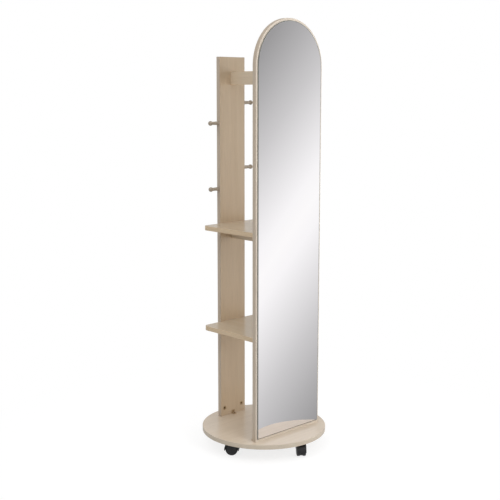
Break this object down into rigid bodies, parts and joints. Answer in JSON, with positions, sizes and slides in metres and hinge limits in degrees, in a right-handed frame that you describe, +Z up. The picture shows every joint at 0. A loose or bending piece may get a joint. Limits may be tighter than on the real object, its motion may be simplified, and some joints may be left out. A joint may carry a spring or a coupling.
{
  "type": "revolving mirror stand",
  "caption": "Arched full-length mirror on a round base with swivelling twin-wheel castors, with a peg post, open shelves and tie rails behind it.",
  "frame": {"origin": "on the floor under the centre of the round base", "axes": "+Z up; the mirror faces -Y and the post stands on +Y; +X runs along the mirror from its left side to its right side as seen from the front"},
  "size_m": [0.4499, 0.45, 1.5179],
  "materials": {
    "board_laminate": "pale maple melamine on chipboard, satin",
    "edge_band": "ABS edge strip in the same maple tone",
    "mirror": "silvered float glass with polished arrises",
    "foam_tape": "closed-cell foam tape",
    "peg_wood": "turned beech, lacquered",
    "dowel_wood": "fluted beech, bare",
    "zinc_casting": "die-cast zinc alloy, dull",
    "zinc_plated_steel": "zinc plated",
    "brown_bracket": "brown enamel",
    "black_nylon": "moulded nylon, satin black"
  },
  "bodies": {
    "stand": {"base_board": "board_laminate", "base_edge_band": "edge_band", "bracket_screws": "brown_bracket", "cam_bolts": "zinc_plated_steel", "cam_locks": "zinc_casting", "castor_front_kingpin": "zinc_plated_steel", "castor_front_plate": "zinc_plated_steel", "castor_left_kingpin": "zinc_plated_steel", "castor_left_plate": "zinc_plated_steel", "castor_rear_kingpin": "zinc_plated_steel", "castor_rear_plate": "zinc_plated_steel", "castor_right_kingpin": "zinc_plated_steel", "castor_right_plate": "zinc_plated_steel", "castor_screws": "zinc_plated_steel", "lower_shelf": "board_laminate", "lower_shelf_edge_band": "edge_band", "mirror_glass": "mirror", "mirror_panel": "board_laminate", "mirror_panel_edge_band": "edge_band", "mirror_tape_strips": "foam_tape", "panel_bracket_left": "brown_bracket", "panel_bracket_right": "brown_bracket", "panel_screws": "zinc_plated_steel", "peg_left_lower": "peg_wood", "peg_left_upper": "peg_wood", "peg_right_lower": "peg_wood", "peg_right_upper": "peg_wood", "post": "board_laminate", "post_bracket": "brown_bracket", "post_edge_bands": "edge_band", "top_rail": "board_laminate", "top_rail_edge_bands": "edge_band", "under_shelf_rail": "board_laminate", "under_shelf_rail_edge_bands": "edge_band", "upper_shelf": "board_laminate", "upper_shelf_edge_band": "edge_band", "wooden_dowels": "dowel_wood"},
    "castor_left": {"castor_left_hood": "black_nylon", "castor_left_axle": "zinc_plated_steel"},
    "castor_left_wheel_1": {"castor_left_wheel_1": "black_nylon"},
    "castor_left_wheel_2": {"castor_left_wheel_2": "black_nylon"},
    "castor_front": {"castor_front_hood": "black_nylon", "castor_front_axle": "zinc_plated_steel"},
    "castor_front_wheel_1": {"castor_front_wheel_1": "black_nylon"},
    "castor_front_wheel_2": {"castor_front_wheel_2": "black_nylon"},
    "castor_right": {"castor_right_hood": "black_nylon", "castor_right_axle": "zinc_plated_steel"},
    "castor_right_wheel_1": {"castor_right_wheel_1": "black_nylon"},
    "castor_right_wheel_2": {"castor_right_wheel_2": "black_nylon"},
    "castor_rear": {"castor_rear_hood": "black_nylon", "castor_rear_axle": "zinc_plated_steel"},
    "castor_rear_wheel_1": {"castor_rear_wheel_1": "black_nylon"},
    "castor_rear_wheel_2": {"castor_rear_wheel_2": "black_nylon"}
  },
  "joints": [
    {"name": "castor_left_swivel", "type": "hinge", "parent": "stand", "child": "castor_left", "pos_m": [-0.18297, -0.00319, 0.0495], "axis": [0, 0, 1], "continuous": true},
    {"name": "castor_left_wheel_1_roll", "type": "hinge", "parent": "castor_left", "child": "castor_left_wheel_1", "pos_m": [-0.17333, -0.01468, 0.022], "axis": [0.766, 0.6428, 0], "continuous": true},
    {"name": "castor_left_wheel_2_roll", "type": "hinge", "parent": "castor_left", "child": "castor_left_wheel_2", "pos_m": [-0.17333, -0.01468, 0.022], "axis": [0.766, 0.6428, 0], "continuous": true},
    {"name": "castor_front_swivel", "type": "hinge", "parent": "stand", "child": "castor_front", "pos_m": [0.00319, -0.18297, 0.0495], "axis": [0, 0, 1], "continuous": true},
    {"name": "castor_front_wheel_1_roll", "type": "hinge", "parent": "castor_front", "child": "castor_front_wheel_1", "pos_m": [-0.00645, -0.19446, 0.022], "axis": [0.766, -0.6428, 0], "continuous": true},
    {"name": "castor_front_wheel_2_roll", "type": "hinge", "parent": "castor_front", "child": "castor_front_wheel_2", "pos_m": [-0.00645, -0.19446, 0.022], "axis": [0.766, -0.6428, 0], "continuous": true},
    {"name": "castor_right_swivel", "type": "hinge", "parent": "stand", "child": "castor_right", "pos_m": [0.18297, 0.00319, 0.0495], "axis": [0, 0, 1], "continuous": true},
    {"name": "castor_right_wheel_1_roll", "type": "hinge", "parent": "castor_right", "child": "castor_right_wheel_1", "pos_m": [0.18011, 0.01792, 0.022], "axis": [-0.9816, -0.1908, 0], "continuous": true},
    {"name": "castor_right_wheel_2_roll", "type": "hinge", "parent": "castor_right", "child": "castor_right_wheel_2", "pos_m": [0.18011, 0.01792, 0.022], "axis": [-0.9816, -0.1908, 0], "continuous": true},
    {"name": "castor_rear_swivel", "type": "hinge", "parent": "stand", "child": "castor_rear", "pos_m": [-0.00319, 0.18297, 0.0495], "axis": [0, 0, 1], "continuous": true},
    {"name": "castor_rear_wheel_1_roll", "type": "hinge", "parent": "castor_rear", "child": "castor_rear_wheel_1", "pos_m": [-0.01644, 0.17593, 0.022], "axis": [0.4695, -0.8829, 0], "continuous": true},
    {"name": "castor_rear_wheel_2_roll", "type": "hinge", "parent": "castor_rear", "child": "castor_rear_wheel_2", "pos_m": [-0.01644, 0.17593, 0.022], "axis": [0.4695, -0.8829, 0], "continuous": true}
  ]
}
